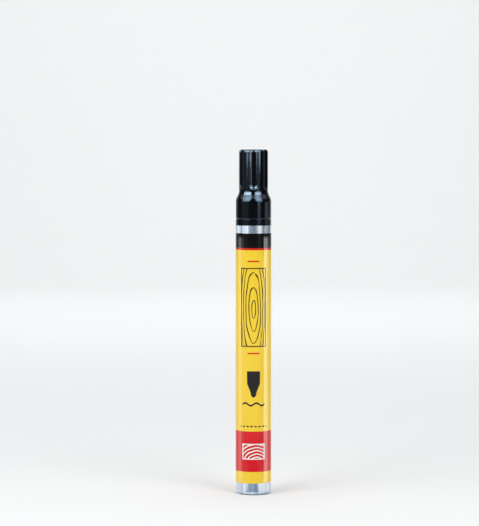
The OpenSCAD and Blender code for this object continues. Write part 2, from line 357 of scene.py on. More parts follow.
class Graph:
    """The node tree of one material, with a short method for each kind of node."""

    def __init__(self, name: str) -> None:
        """Start a material with its shader.

        Args:
            name: Name of the material.
        """
        self.material = bpy.data.materials.new(name)
        self.material.use_nodes = True
        self.nodes = self.material.node_tree.nodes
        self.links = self.material.node_tree.links
        self.shader = self.nodes["Principled BSDF"]

    def feed(self, target: NodeSocket, term: Term) -> None:
        """Link a value into an input, or set a plain number or colour on it.

        Args:
            target: The input.
            term: A value, a number or a colour.
        """
        if isinstance(term, Value):
            self.links.new(term.socket, target)
        elif target.type == "RGBA":
            target.default_value = (*term, 1.0)
        else:
            target.default_value = term

    def surface(self, terms: dict[str, Term]) -> None:
        """Feed the shader's own inputs by name."""
        for name, term in terms.items():
            self.feed(self.shader.inputs[name], term)

    def compute(self, operation: str, *terms: Term) -> Value:
        """Work out one step of arithmetic.

        Args:
            operation: Name of the operation.
            terms: Its terms, in order.

        Returns:
            The result.
        """
        node = self.nodes.new("ShaderNodeMath")
        node.operation = operation
        for target, term in zip(node.inputs, terms):
            self.feed(target, term)
        return Value(self, node.outputs[0])

    def place(self) -> list[Value]:
        """Give the point's X, Y and Z in millimetres, in the marker's frame.

        Returns:
            The three values.
        """
        split = self.nodes.new("ShaderNodeSeparateXYZ")
        self.links.new(self.nodes.new("ShaderNodeTexCoord").outputs["Object"], split.inputs[0])
        return [Value(self, axis) / MM for axis in split.outputs]

    def noise(self, grain: Grain) -> Value:
        """Give noise from 0 to 1.

        Args:
            grain: The noise's scales and detail.

        Returns:
            The noise.
        """
        node = self.nodes.new("ShaderNodeTexNoise")
        join = self.nodes.new("ShaderNodeCombineXYZ")
        scales = (grain.across, grain.across, grain.along)
        for target, axis, scale in zip(join.inputs, self.place(), scales):
            self.feed(target, axis * scale)
        self.links.new(join.outputs[0], node.inputs["Vector"])
        node.inputs["Scale"].default_value = 1.0
        node.inputs["Detail"].default_value = grain.detail
        return Value(self, node.outputs[0])

    def ramp(self, value: Value, span: Point, ends: Point = (0.0, 1.0)) -> Value:
        """Map a value from one span to another, held at the ends.

        Args:
            value: The value.
            span: Values that give the two ends.
            ends: First and last result.

        Returns:
            The mapped value.
        """
        node = self.nodes.new("ShaderNodeMapRange")
        names = ("Value", "From Min", "From Max", "To Min", "To Max")
        for name, term in zip(names, (value, *span, *ends)):
            self.feed(node.inputs[name], term)
        return Value(self, node.outputs[0])

    def varied(self, grain: Grain, ends: Point) -> Value:
        """Give a number that a noise moves between two ends."""
        return self.ramp(self.noise(grain), NOISE_SPAN, ends)

    def mix(self, share: Value, low: Term, high: Term) -> Value:
        """Mix two colours.

        Args:
            share: Share of the second colour, from 0 to 1.
            low: First colour.
            high: Second colour.

        Returns:
            The mixed colour.
        """
        node = self.nodes.new("ShaderNodeMix")
        node.data_type = "RGBA"
        for number, term in zip(MIX_INPUTS, (share, low, high)):
            self.feed(node.inputs[number], term)
        return Value(self, node.outputs[MIX_OUTPUT])

    def relief(self, height: Value, depth: float) -> None:
        """Raise and sink the surface.

        Args:
            height: Height from 0 to 1.
            depth: Millimetres that a height of 1 stands for.
        """
        node = self.nodes.new("ShaderNodeBump")
        node.inputs["Distance"].default_value = depth * MM
        self.feed(node.inputs["Height"], height)
        self.links.new(node.outputs[0], self.shader.inputs["Normal"])


@dataclass(frozen=True)
class DrawnAluminium:
    """Bright aluminium tube, with fine drawing lines along it, and a blue cast painted into its colour for
    the blue of its reflections.
    """

    # Both colours carry a painted blue cast that stands in for the blue of the metal's reflections; the
    # noise between them is random streaking
    bright: Colour = srgb(234, 243, 252)
    dull: Colour = srgb(190, 207, 227)
    roughness: Point = (0.16, 0.26)
    lines: Grain = Grain(5.0, 0.05, 4.0)
    line_depth: float = 0.012
    streaks: Grain = Grain(0.9, 0.03)
    streak_span: Point = (0.4, 0.6)

    def make(self) -> Material:
        """Build the material.

        Returns:
            The material.
        """
        graph = Graph("drawn_aluminium")
        lines = graph.noise(self.lines)
        streaks = graph.ramp(graph.noise(self.streaks), self.streak_span)
        graph.surface({
            "Base Color": graph.mix(streaks, self.dull, self.bright),
            "Metallic": 1.0,
            "Roughness": graph.ramp(lines, NOISE_SPAN, self.roughness),
        })
        graph.relief(lines, self.line_depth)
        return graph.material


@dataclass(frozen=True)
class LabelPrint:
    """The label's print, laid flat. Each mask is 1 where its ink goes and 0 elsewhere."""

    graph: Graph
    across: Value
    z: Value
    soft: float = 0.05
    outline: float = 0.45
    board_z: float = 79.5
    board_half: Point = (5.3, 16.2)
    board_stretch: float = 5.0
    grain_pitch: float = 1.15
    grain_line: float = 0.36
    grain_waves: Grain = Grain(0.22, 0.05)
    grain_wander: float = 2.0
    rule_spans: tuple[Point, Point] = ((98.6, 99.2), (59.8, 60.4))
    rule_half: float = 2.6
    tip_z: float = 43.6
    tip_half: float = 1.25
    tip_stretch: float = 1.7
    cone_z: float = 47.4
    stem_z: float = 52.6
    stem_half: float = 2.8
    stroke_z: float = 38.6
    stroke_half: float = 5.0
    stroke_width: float = 0.8
    wave_rate: float = 1.3
    wave_height: float = 0.55
    dash_span: Point = (28.9, 29.5)
    dash_half: float = 5.9
    dash_pitch: float = 1.7
    dash_length: float = 1.0
    end_half: Point = (4.6, 2.9)
    heart_side: float = 1.3
    heart_drop: float = 5.2
    ring_pitch: float = 1.35
    ring_line: float = 0.5
    ring_waves: Grain = Grain(0.25, 0.25, 1.0)
    ring_wander: float = 0.9

    def within(self, value: Value, span: Point) -> Value:
        """Cover a span of a value.

        Args:
            value: The value.
            span: Lower and upper end.

        Returns:
            The mask.
        """
        rise = self.graph.ramp(value, (span[0] - self.soft, span[0] + self.soft))
        fall = self.graph.ramp(value, (span[1] + self.soft, span[1] - self.soft))
        return rise & fall

    def below(self, value: Value, limit: Term) -> Value:
        """Cover where a value lies below a limit."""
        return self.graph.ramp(self.graph.compute("SUBTRACT", limit, value), (-self.soft, self.soft))

    def near_front(self, half: Term) -> Value:
        """Cover the front of the label, up to a distance to each side."""
        return self.below(abs(self.across), half)

    def lines(self, distance: Value, pitch: float, width: Term) -> Value:
        """Draw lines of a width that repeat at a pitch along a distance."""
        phase = self.graph.compute("FRACT", distance / pitch)
        return self.below(abs(phase - 0.5) * (2 * pitch), width)

    def reach(self, across: Value, rise: Value, stretch: float) -> Value:
        """Measure the distance from a middle, with heights counted shorter by a stretch."""
        shorter = rise / stretch
        return self.graph.compute("SQRT", across * across + shorter * shorter)

    def framed(self, rise: Value, half: Point, pattern: Value) -> Value:
        """Set a pattern in a rectangle drawn with a thin line, given half its width and half its height."""
        edge = (abs(self.across) - half[0]) | (abs(rise) - half[1])
        return (pattern & self.below(edge, 0.0)) | self.within(edge, (0.0, self.outline))

    def board(self) -> Value:
        """Draw a board with oval grain, in lines of even width, in the middle of the label.

        Returns:
            The mask.
        """
        rise = self.z - self.board_z
        oval = self.reach(self.across, rise, self.board_stretch)
        steepness = self.reach(self.across, rise, self.board_stretch**2) / oval
        wander = self.graph.noise(self.grain_waves) * self.grain_wander
        grain = self.lines(oval + wander, self.grain_pitch, steepness * self.grain_line)
        return self.framed(rise, self.board_half, grain)

    def rules(self) -> Value:
        """Draw a short rule over and under the board."""
        upper, lower = (self.within(self.z, span) for span in self.rule_spans)
        return (upper | lower) & self.near_front(self.rule_half)

    def tip(self) -> Value:
        """Draw a marker's tip in the lower half of the label: a stem, a cone and a round point.

        Returns:
            The mask.
        """
        half = self.graph.ramp(self.z, (self.tip_z, self.cone_z), (self.tip_half, self.stem_half))
        stem = self.within(self.z, (self.tip_z, self.stem_z)) & self.near_front(half)
        point = self.reach(self.across, self.z - self.tip_z, self.tip_stretch)
        return stem | self.below(point, self.tip_half)

    def stroke(self) -> Value:
        """Draw a wavy stroke under the tip.

        Returns:
            The mask.
        """
        wave = self.graph.compute("SINE", self.across * self.wave_rate) * self.wave_height
        off_line = abs(self.z - self.stroke_z - wave)
        return self.below(off_line, self.stroke_width / 2) & self.near_front(self.stroke_half)

    def dashes(self) -> Value:
        """Draw a dashed rule under the stroke."""
        rule = self.within(self.z, self.dash_span) & self.near_front(self.dash_half)
        return rule & self.lines(self.across, self.dash_pitch, self.dash_length)

    def board_end(self, middle: float) -> Value:
        """Draw the sawn end of a board with its curved growth rings.

        Args:
            middle: Height of its middle.

        Returns:
            The mask.
        """
        rise = self.z - middle
        ring = self.reach(self.across - self.heart_side, rise + self.heart_drop, stretch=1.0)
        wander = self.graph.noise(self.ring_waves) * self.ring_wander
        return self.framed(rise, self.end_half, self.lines(ring + wander, self.ring_pitch, self.ring_line))


@dataclass(frozen=True)
class PrintedFilm:
    """Glossy film, printed with plain bands and plain woodwork motifs."""

    radius: float
    shade: Point
    stripe: Point
    header: Point
    ground_ink: Colour = srgb(246, 208, 58)
    red_ink: Colour = srgb(214, 18, 28)
    black_ink: Colour = srgb(16, 14, 13)
    white_ink: Colour = srgb(246, 243, 238)
    sheen: Grain = Grain(0.5, 0.2, 3.0)
    roughness: Point = (0.08, 0.11)
    ior: float = 1.5
    shine: float = 0.3
    ripple: Grain = Grain(1.4, 1.4, 1.0)
    ripple_depth: float = 0.0015

    def make(self) -> Material:
        """Build the material.

        Returns:
            The material.
        """
        graph = Graph("printed_film")
        x, y, z = graph.place()
        drawing = LabelPrint(graph, graph.compute("ARCTAN2", x, y * -1.0) * self.radius, z)
        colour: Term = self.ground_ink
        for mask, ink in (
            (drawing.within(z, self.shade), self.red_ink),
            (drawing.within(z, self.stripe), self.red_ink),
            (drawing.within(z, self.header), self.black_ink),
            (drawing.board(), self.black_ink),
            (drawing.rules(), self.red_ink),
            (drawing.tip() | drawing.stroke() | drawing.dashes(), self.black_ink),
            (drawing.board_end(sum(self.shade) / 2), self.white_ink),
        ):
            colour = graph.mix(mask, colour, ink)
        graph.surface({
            "Base Color": colour,
            "Roughness": graph.varied(self.sheen, self.roughness),
            "IOR": self.ior,
            "Specular IOR Level": self.shine,
        })
        graph.relief(graph.noise(self.ripple), self.ripple_depth)
        return graph.material


@dataclass(frozen=True)
class BlackPlastic:
    """Black moulded plastic, as glossy as its mould was polished."""

    gloss: Gloss
    deep: Colour = srgb(4, 4, 5)
    pale: Colour = srgb(8, 8, 10)
    # Tint of the plastic's reflections: a painted blue cast on its highlights
    painted_blue_reflection_tint: Colour = (0.62, 0.81, 1.0)
    polished_roughness: Point = (0.05, 0.08)
    polished_ior: float = 1.6
    satin_roughness: Point = (0.10, 0.14)
    satin_ior: float = 1.5
    cloud: Grain = Grain(0.3, 0.15, 3.0)
    sheen: Grain = Grain(1.2, 0.5, 3.0)
    waves: Grain = Grain(0.45, 0.25, 1.0)
    wave_depth: float = 0.01

    def make(self) -> Material:
        """Build the material.

        Returns:
            The material.
        """
        graph = Graph(f"{self.gloss.value}_black_plastic")
        polished = self.gloss is Gloss.POLISHED
        roughness = self.polished_roughness if polished else self.satin_roughness
        graph.surface({
            "Base Color": graph.mix(graph.noise(self.cloud), self.deep, self.pale),
            "Roughness": graph.varied(self.sheen, roughness),
            "IOR": self.polished_ior if polished else self.satin_ior,
            "Specular Tint": self.painted_blue_reflection_tint,
        })
        graph.relief(graph.noise(self.waves), self.wave_depth)
        return graph.material


@dataclass(frozen=True)
class BondedFelt:
    """Dense off-white felt, pressed from fine fibres."""

    pale: Colour = srgb(241, 237, 226)
    shaded: Colour = srgb(214, 207, 190)
    roughness: float = 0.95
    fuzz: float = 0.35
    fuzz_roughness: float = 0.6
    fibres: Grain = Grain(7.0, 2.2, 4.0)
    fibre_depth: float = 0.12

    def make(self) -> Material:
        """Build the material.

        Returns:
            The material.
        """
        graph = Graph("bonded_felt")
        fibres = graph.noise(self.fibres)
        graph.surface({
            "Base Color": graph.mix(graph.ramp(fibres, NOISE_SPAN), self.shaded, self.pale),
            "Roughness": self.roughness,
            "Sheen Weight": self.fuzz,
            "Sheen Roughness": self.fuzz_roughness,
        })
        graph.relief(fibres, self.fibre_depth)
        return graph.material


@dataclass(frozen=True)
class NaturalPlastic:
    """Unpigmented waxy plastic of the inner mouldings."""

    pale: Colour = srgb(240, 238, 231)
    deep: Colour = srgb(224, 221, 211)
    roughness: Point = (0.36, 0.48)
    glow: float = 0.2
    glow_depth: float = 1.0
    cloud: Grain = Grain(0.35, 0.25, 3.0)
    cloud_depth: float = 0.01
    sheen: Grain = Grain(1.5, 1.5)

    def make(self) -> Material:
        """Build the material.

        Returns:
            The material.
        """
        graph = Graph("natural_plastic")
        cloud = graph.noise(self.cloud)
        graph.surface({
            "Base Color": graph.mix(graph.ramp(cloud, NOISE_SPAN), self.deep, self.pale),
            "Roughness": graph.varied(self.sheen, self.roughness),
            "Subsurface Weight": self.glow,
            "Subsurface Scale": self.glow_depth * MM,
        })
        graph.relief(cloud, self.cloud_depth)
        return graph.material


@dataclass(frozen=True)
class SealRubber:
    """Matt black rubber of the valve's sealing ring."""

    dark: Colour = srgb(22, 22, 22)
    bloom: Colour = srgb(48, 48, 47)
    bloom_span: Point = (0.4, 0.8)
    roughness: Point = (0.62, 0.78)
    specks: Grain = Grain(9.0, 9.0, 3.0)
    speck_depth: float = 0.015

    def make(self) -> Material:
        """Build the material.

        Returns:
            The material.
        """
        graph = Graph("seal_rubber")
        specks = graph.noise(self.specks)
        graph.surface({
            "Base Color": graph.mix(graph.ramp(specks, self.bloom_span), self.dark, self.bloom),
            "Roughness": graph.ramp(specks, NOISE_SPAN, self.roughness),
        })
        graph.relief(specks, self.speck_depth)
        return graph.material


@dataclass(frozen=True)
class BrightSteel:
    """Steel of the spring and the balls, from drawn and satin to polished."""

    name: str
    roughness: Point
    marks: Grain
    bright: Colour = srgb(214, 217, 222)
    dull: Colour = srgb(168, 173, 180)
    mark_depth: float = 0.002

    def make(self) -> Material:
        """Build the material.

        Returns:
            The material.
        """
        graph = Graph(self.name)
        marks = graph.noise(self.marks)
        graph.surface({
            "Base Color": graph.mix(graph.ramp(marks, NOISE_SPAN), self.dull, self.bright),
            "Metallic": 1.0,
            "Roughness": graph.ramp(marks, NOISE_SPAN, self.roughness),
        })
        graph.relief(marks, self.mark_depth)
        return graph.material


@dataclass(frozen=True)
class StudioPaper:
    """Matt paper of the floor and backdrop, with faint flecks, and of the card seen only in mirrors, which
    has none and paints a reflection.
    """

    name: str = "studio_paper"
    colour: Colour = srgb(244, 243, 241)
    fleck: Optional[Colour] = srgb(241, 240, 239)
    flecks: Grain = Grain(0.4, 0.4, 3.0)

    def make(self) -> Material:
        """Build the material.

        Returns:
            The material.
        """
        graph = Graph(self.name)
        colour: Term = self.colour
        if self.fleck:
            colour = graph.mix(graph.noise(self.flecks), self.colour, self.fleck)
        graph.surface({
            "Base Color": colour,
            "Roughness": 1.0,
            "Specular IOR Level": 0.0,
        })
        return graph.material


@dataclass
class Barrel:
    """The aluminium tube with its closed, rounded end."""

    wall: float = 0.5
    base_thick: float = 0.8
    base_round: float = 1.6
    mouth_round: float = 0.05

    def build(self) -> None:
        """Turn the tube and set it on the marker."""
        radius, top = high_mm("barrel").x, high_mm("barrel").z
        bore = radius - self.wall
        inside = self.base_round - self.wall
        profile = [
            (0.0, 0.0),
            *arc((radius - self.base_round, self.base_round), self.base_round, -90, 0),
            *arc((radius - self.mouth_round, top - self.mouth_round), self.mouth_round, 0, 90),
            *arc((bore + self.mouth_round, top - self.mouth_round), self.mouth_round, 90, 180),
            *arc((bore - inside, self.base_thick + inside), inside, 0, -90),
            (0.0, self.base_thick),
        ]
        tube = turned("barrel_tube", profile)
        dress(tube, "marker", "barrel_aluminium", DrawnAluminium().make(), "barrel")


@dataclass
class Label:
    """The wrap-round printed film, whose end laps over its start at the back."""

    lap: float = 3.0
    climb: float = 0.35
    glue: float = 0.004
    columns: int = 300
    rows: int = 13
    shade_gap: float = 4.9
    shade_h: float = 17.2
    header_h: float = 6.2
    stripe_h: float = 0.8
    bleed: float = 1.0

    def section(self) -> tuple[list[Point], list[Point]]:
        """Work out the film's path round the barrel.

        Returns:
            Its inner and its outer points, from the film's start to its end.
        """
        barrel_r = high_mm("barrel").x
        film = -low_mm("label").y - barrel_r
        lap_angle = self.lap / barrel_r
        climb_angle = self.climb / barrel_r
        inner, outer = [], []
        for travelled in spaced(0.0, math.tau + lap_angle, self.columns + 1):
            lift = film * eased((travelled - math.tau + climb_angle) / climb_angle)
            angle = math.pi / 2 - lap_angle / 2 + travelled
            for path, radius in ((inner, barrel_r + self.glue), (outer, barrel_r + film)):
                path.append(((radius + lift) * math.cos(angle), (radius + lift) * math.sin(angle)))
        return inner, outer

    def finish(self) -> Material:
        """Set out the printed bands and make the film's finish.

        Returns:
            The material.
        """
        low, top = low_mm("label").z, high_mm("label").z
        header = top - self.header_h
        shade = low + self.shade_gap
        return PrintedFilm(
            radius=high_mm("label").x,
            shade=(shade, shade + self.shade_h),
            stripe=(header - self.stripe_h, header),
            header=(header, top + self.bleed),
        ).make()

    def build(self) -> None:
        """Wrap the film as one closed ribbon and set it on the marker."""
        inner, outer = self.section()
        loop = outer + inner[::-1]
        heights = spaced(low_mm("label").z, high_mm("label").z, self.rows)
        points = [(x, y, z) for z in heights for x, y in loop]
        rows = numbered(self.rows, len(loop))
        faces = woven(rows)
        for row in (rows[0], rows[-1]):
            outside, inside = row[:len(outer)], row[len(outer):]
            faces += woven([outside, inside[::-1]], closed=False)
        film = mesh_object("label_wrap", points, faces)
        dress(film, "marker", "label_film", self.finish(), "label")


@dataclass
class Front:
    """The neck, the nib holder and the felt nib."""

    sleeve_r: float = 5.6
    spigot_r: float = 4.2
    seat_r: float = 6.1
    flange_h: float = 2.6
    flange_edge: float = 0.07
    edge_round: float = 0.3
    bead_out: float = 0.2
    bead_turn: float = 60.0
    shoulder_drop: float = 1.0
    groove_depth: float = 0.35
    groove_h: float = 1.4
    grooves: int = 3
    bullet_h: float = 3.4
    bullet_rings: int = 20
    shank_rings: int = 48
    tail_bevel: float = 0.3
    nib_steps: int = 96
    fibres: Grain = Grain(3.2, 1.3)
    fibre_depth: float = 0.07
    fibre_fade_r: float = 1.0

    def flange_z(self) -> float:
        """Give the height of the flange's upper face."""
        return high_mm("barrel").z + self.flange_h

    def bead_z(self) -> float:
        """Give the height of the snap bead that holds the cap, half way up its seat."""
        return (self.flange_z() + high_mm("neck").z) / 2

    def neck_profile(self) -> Profile:
        """Set out the neck's half outline, from the plug inside the barrel up to the cap's seat.

        Returns:
            Its points.
        """
        mouth, flange = high_mm("barrel").z, self.flange_z()
        bore = high_mm("barrel").x - Barrel.wall
        flange_r = high_mm("neck").x
        plug, seat = low_mm("neck").z, high_mm("neck").z
        edge = self.edge_round
        bead_r = self.bead_out / (1 - math.cos(math.radians(self.bead_turn)))
        bead_centre = (self.seat_r + self.bead_out - bead_r, self.bead_z())
        deep = bore - self.groove_depth
        pitch = (mouth - plug) / (self.grooves + 1)
        lands = []
        for i in range(1, self.grooves + 1):
            low = plug + i * pitch - self.groove_h / 2
            high = plug + i * pitch + self.groove_h / 2
            lands += [(bore, low), (deep, low), (deep, high), (bore, high)]
        return [
            (self.sleeve_r, plug), (bore - edge, plug), (bore, plug + edge), *lands,
            (bore, mouth), (flange_r, mouth),
            *arc((flange_r - self.flange_edge, flange - self.flange_edge), self.flange_edge, 0, 90),
            (self.seat_r, flange),
            *arc(bead_centre, bead_r, -self.bead_turn, self.bead_turn),
            *arc((self.seat_r - edge, seat - edge), edge, 0, 90),
            (self.spigot_r, seat), (self.spigot_r, flange - self.shoulder_drop),
            (self.sleeve_r, flange - self.shoulder_drop),
        ]

    def nib_profile(self) -> Profile:
        """Set out the nib's half outline, with rings close enough for its fibres.

        Returns:
            Its points.
        """
        radius, tail, tip = high_mm("nib").x, low_mm("nib").z, high_mm("nib").z
        start = tip - self.bullet_h
        quarter = angles(0, 90, self.bullet_rings)
        return [
            (0.0, tail), (radius - self.tail_bevel, tail),
            *[(radius, z) for z in spaced(tail + self.tail_bevel, start, self.shank_rings)],
            *[(radius * math.cos(a), start + self.bullet_h * math.sin(a)) for a in quarter[1:-1]],
            (0.0, tip),
        ]

    def fibrous(self, angle: float, radius: float, height: float) -> float:
        """Sink the felt's surface here and there between its fibres, less so near the axis.

        Args:
            angle: Angle round the axis.
            radius: Plain radius.
            height: Height.

        Returns:
            The radius with the fibres' relief.
        """
        across = self.fibres.across * radius
        spot = Vector((across * math.cos(angle), across * math.sin(angle), self.fibres.along * height))
        sunk = self.fibre_depth * (1 + noise.noise(spot)) / 2
        return radius - sunk * min(radius / self.fibre_fade_r, 1.0)

    def build(self) -> None:
        """Build the neck and the nib, and finish the nib holder."""
        satin = BlackPlastic(Gloss.SATIN).make()
        neck = turned("neck_moulding", self.neck_profile())
        dress(neck, "marker", "neck_plastic", satin, "neck")
        repaint("nib_holder", satin)
        nib = turned("felt_nib", self.nib_profile(), self.nib_steps, self.fibrous)
        dress(nib, "nib", "felt", BondedFelt().make(), "nib")


@dataclass
class Valve:
    """The spring-loaded valve inside the neck."""

    wire_d: float = 0.5
    turns: int = 6
    turn_steps: int = 40
    wire_sides: int = 16
    steel: BrightSteel = BrightSteel("drawn_wire", roughness=(0.22, 0.38), marks=Grain(3.0, 3.0, 4.0))

    def coil_height(self, turn: float, low: float, high: float) -> float:
        """Give the height of the wire's centre, with a closed turn at each end.

        Args:
            turn: Number of turns from the lower end.
            low: Height of the first turn.
            high: Height of the last turn.

        Returns:
            The height.
        """
        pitch = (high - low - 2 * self.wire_d) / (self.turns - 2)
        if turn < 1:
            return low + turn * self.wire_d
        if turn > self.turns - 1:
            return high - (self.turns - turn) * self.wire_d
        return low + self.wire_d + (turn - 1) * pitch

    def spring(self) -> None:
        """Sweep the spring's wire and set it on the marker."""
        low, high = low_mm("valve_spring"), high_mm("valve_spring")
        wire_r = self.wire_d / 2
        coil_r = high.x - wire_r
        rings = self.turns * self.turn_steps + 1
        points = []
        for i in range(rings):
            turn = i / self.turn_steps
            way = math.tau * turn
            centre = self.coil_height(turn, low.z + wire_r, high.z - wire_r)
            for k in range(self.wire_sides):
                side = math.tau * k / self.wire_sides
                reach = coil_r + wire_r * math.cos(side)
                height = centre + wire_r * math.sin(side)
                points.append((reach * math.cos(way), reach * math.sin(way), height))
        rows = numbered(rings, self.wire_sides)
        coil = mesh_object("spring_coil", points, woven(rows) + [rows[0], rows[-1]])
        dress(coil, "marker", "spring_steel", self.steel.make(), "valve_spring")
        press = next(joint for joint in frame["joints"] if joint["name"] == "nib_press")
        stroke = press["range_m"][1] / MM
        1 - stroke / (high.z - low.z)
        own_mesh(coil)

    def build(self) -> None:
        """Build the spring and finish the valve's other pieces."""
        self.spring()
        natural = NaturalPlastic().make()
        for node in ("valve_sleeve", "valve_rod", "spring_retainer"):
            repaint(node, natural)
        repaint("valve_seal", SealRubber().make())


@dataclass
class Cap:
    """The stepped and fluted push-on cap, with its sealing liner."""

    bore_r: float = 6.35
    rim_round: float = 0.35
    lead_round: float = 0.25
    groove_depth: float = 0.2
    groove_floor_half: float = 0.2
    groove_mouth_half: float = 0.6
    seat_gap: float = 0.3
    inner_slope: float = 2.0
    shoulder_top: float = 128.35
    flare_round: float = 2.0
    flare_lean: float = 17.0
    flare_h: float = 0.8
    shoulder_hollow: float = 1.5
    cone_lean: float = 25.0
    shoulder_round: float = 0.8
    lip_lean: float = 13.2
    lip_h: float = 0.6
    lip_round: float = 2.0
    top_r: float = 6.1
    end_lean: float = 28.0
    end_crown: float = 1.6
    end_round: float = 0.85
    flutes: int = 6
    flute_r: float = 3.0
    flute_depth: float = 0.8
    flute_z: float = 128.8
    flute_edge: float = 0.3
    flute_margin: float = 1.2
    gate_r: float = 0.9
    gate_depth: float = 0.2
    gate_steps: int = 4
    liner_wall: float = 0.8
    liner_end: float = 0.8
    liner_edge: float = 0.3
    round_steps: int = 432
    wall_rings: int = 8
    wall_gap: float = 0.4
    flute_end_rings: int = 30
    flute_end_gap: float = 0.2
    shoulder_gap: float = 0.1

    def flute_deep(self) -> float:
        """Give the height from which the flutes are fully deep, over their round ends."""
        rise = math.sqrt(self.flute_r**2 - (self.flute_r - self.flute_depth) ** 2)
        return self.flute_z + rise

    def fluted(self, angle: float, radius: float, height: float) -> float:
        """Sink the flutes into the narrow part's outer wall and its top edge.

        Args:
            angle: Angle round the axis, from +X.
            radius: Plain radius.
            height: Height.

        Returns:
            The radius with the flutes' hollows and rounded edges.
        """
        outer_wall = high_mm("cap_liner").x + self.flute_edge
        if height < self.flute_z - self.flute_margin or radius < outer_wall:
            return radius
        # Angles are counted from the middle of the nearest flute, and one flute faces the front
        pitch = math.tau / self.flutes
        offset = (angle + math.pi / 2 + pitch / 2) % pitch - pitch / 2
        centre = self.top_r - self.flute_depth + self.flute_r
        under = max(self.flute_deep() - height, 0.0)
        spread = self.flute_r**2 - under**2 - (centre * math.sin(offset)) ** 2
        if spread <= 0:
            return radius
        hollow = centre * math.cos(offset) - math.sqrt(spread)
        return radius - self.top_r + blended_min(self.top_r, hollow, self.flute_edge)

    def shoulder(self, skirt_r: float) -> Profile:
        """Set out the shoulder: a flare, a hollow, a cone, a round and a lip that turns into the skirt.

        Args:
            skirt_r: Outer radius of the skirt.

        Returns:
            Its points, from the narrow part down to the skirt.
        """
        flare = bend((self.top_r, self.shoulder_top), self.flare_round, 0.0, self.flare_lean)
        hollow = bend(leaned(flare[-1], self.flare_lean, self.flare_h), self.shoulder_hollow,
                      self.flare_lean, self.cone_lean)
        turn = bend((0.0, 0.0), self.shoulder_round, self.cone_lean, self.lip_lean)
        lip = bend(leaned(turn[-1], self.lip_lean, self.lip_h), self.lip_round, self.lip_lean, 0.0)
        cone_r = skirt_r - lip[-1][0]
        cone_z = hollow[-1][1] - (cone_r - hollow[-1][0]) / math.tan(math.radians(self.cone_lean))
        return flare + hollow + [(cone_r + r, cone_z + z) for r, z in turn + lip]

    def outside(self) -> Profile:
        """Set out the cap's outer half outline, from the gate mark on its top to its rim.

        Returns:
            Its points.
        """
        skirt_r, rim, end = high_mm("cap").x, low_mm("cap").z, high_mm("cap").z
        gate_z = end - self.gate_depth
        shoulder = self.shoulder(skirt_r)
        lean = math.radians(self.end_lean)
        crown = self.end_crown - self.end_round
        wall_top = end - self.end_round - crown * math.sin(lean)
        flat_r = self.top_r - self.end_crown + crown * math.cos(lean)
        deep = self.flute_deep()
        heights = [
            *spaced(wall_top - self.wall_gap, deep + self.wall_gap, self.wall_rings),
            *spaced(deep + self.flute_end_gap, shoulder[0][1] + self.shoulder_gap, self.flute_end_rings),
        ]
        return [
            (0.0, gate_z), (self.gate_r - self.gate_depth, gate_z),
            *arc((self.gate_r + self.gate_depth, gate_z), self.gate_depth, 180, 90, self.gate_steps),
            *arc((flat_r, end - self.end_round), self.end_round, 90, self.end_lean)[:-1],
            *arc((self.top_r - self.end_crown, wall_top), self.end_crown, self.end_lean, 0),
            *[(self.top_r, z) for z in heights],
            *shoulder,
            *arc((skirt_r - self.rim_round, rim + self.rim_round), self.rim_round, 0, -90),
        ]

    def inside(self) -> Profile:
        """Set out the cap's inner half outline, from its rim past the snap groove to the liner's end.

        Returns:
            Its points.
        """
        rim, seat, bead = low_mm("cap").z, high_mm("neck").z, Front().bead_z()
        liner_r, ceiling = high_mm("cap_liner").x, high_mm("cap_liner").z
        groove_r = self.bore_r + self.groove_depth
        cone_top = seat + self.inner_slope * (self.bore_r - liner_r)
        return [
            *arc((self.bore_r + self.lead_round, rim + self.lead_round), self.lead_round, -90, -180),
            (self.bore_r, bead - self.groove_mouth_half), (groove_r, bead - self.groove_floor_half),
            (groove_r, bead + self.groove_floor_half), (self.bore_r, bead + self.groove_mouth_half),
            (self.bore_r, seat + self.seat_gap), (liner_r, cone_top),
            (liner_r, ceiling), (0.0, ceiling),
        ]

    def liner_profile(self) -> Profile:
        """Set out the liner's half outline.

        Returns:
            Its points.
        """
        outer, mouth, top = high_mm("cap_liner").x, low_mm("cap_liner").z, high_mm("cap_liner").z
        bore = outer - self.liner_wall
        return [
            (0.0, top), (outer, top), (outer, mouth), (bore + self.liner_edge, mouth),
            (bore, mouth + self.liner_edge), (bore, top - self.liner_end), (0.0, top - self.liner_end),
        ]

    def build(self) -> None:
        """Build the cap and its liner."""
        shell = turned("cap_shell", self.outside() + self.inside(), self.round_steps, self.fluted)
        dress(shell, "cap", "cap_plastic", BlackPlastic(Gloss.POLISHED).make(), "cap")
        liner = turned("liner_cup", self.liner_profile())
        dress(liner, "cap", "natural_plastic", NaturalPlastic().make(), "cap_liner")


@dataclass
class MixingBalls:
    """The two steel balls that stir the stain."""

    nodes: tuple[str, ...] = ("mixing_ball_a", "mixing_ball_b")
    steel: BrightSteel = BrightSteel("bearing_steel", roughness=(0.05, 0.12), marks=Grain(0.8, 0.8, 4.0))

    def build(self) -> None:
        """Finish both balls."""
        material = self.steel.make()
        for node in self.nodes:
            repaint(node, material)


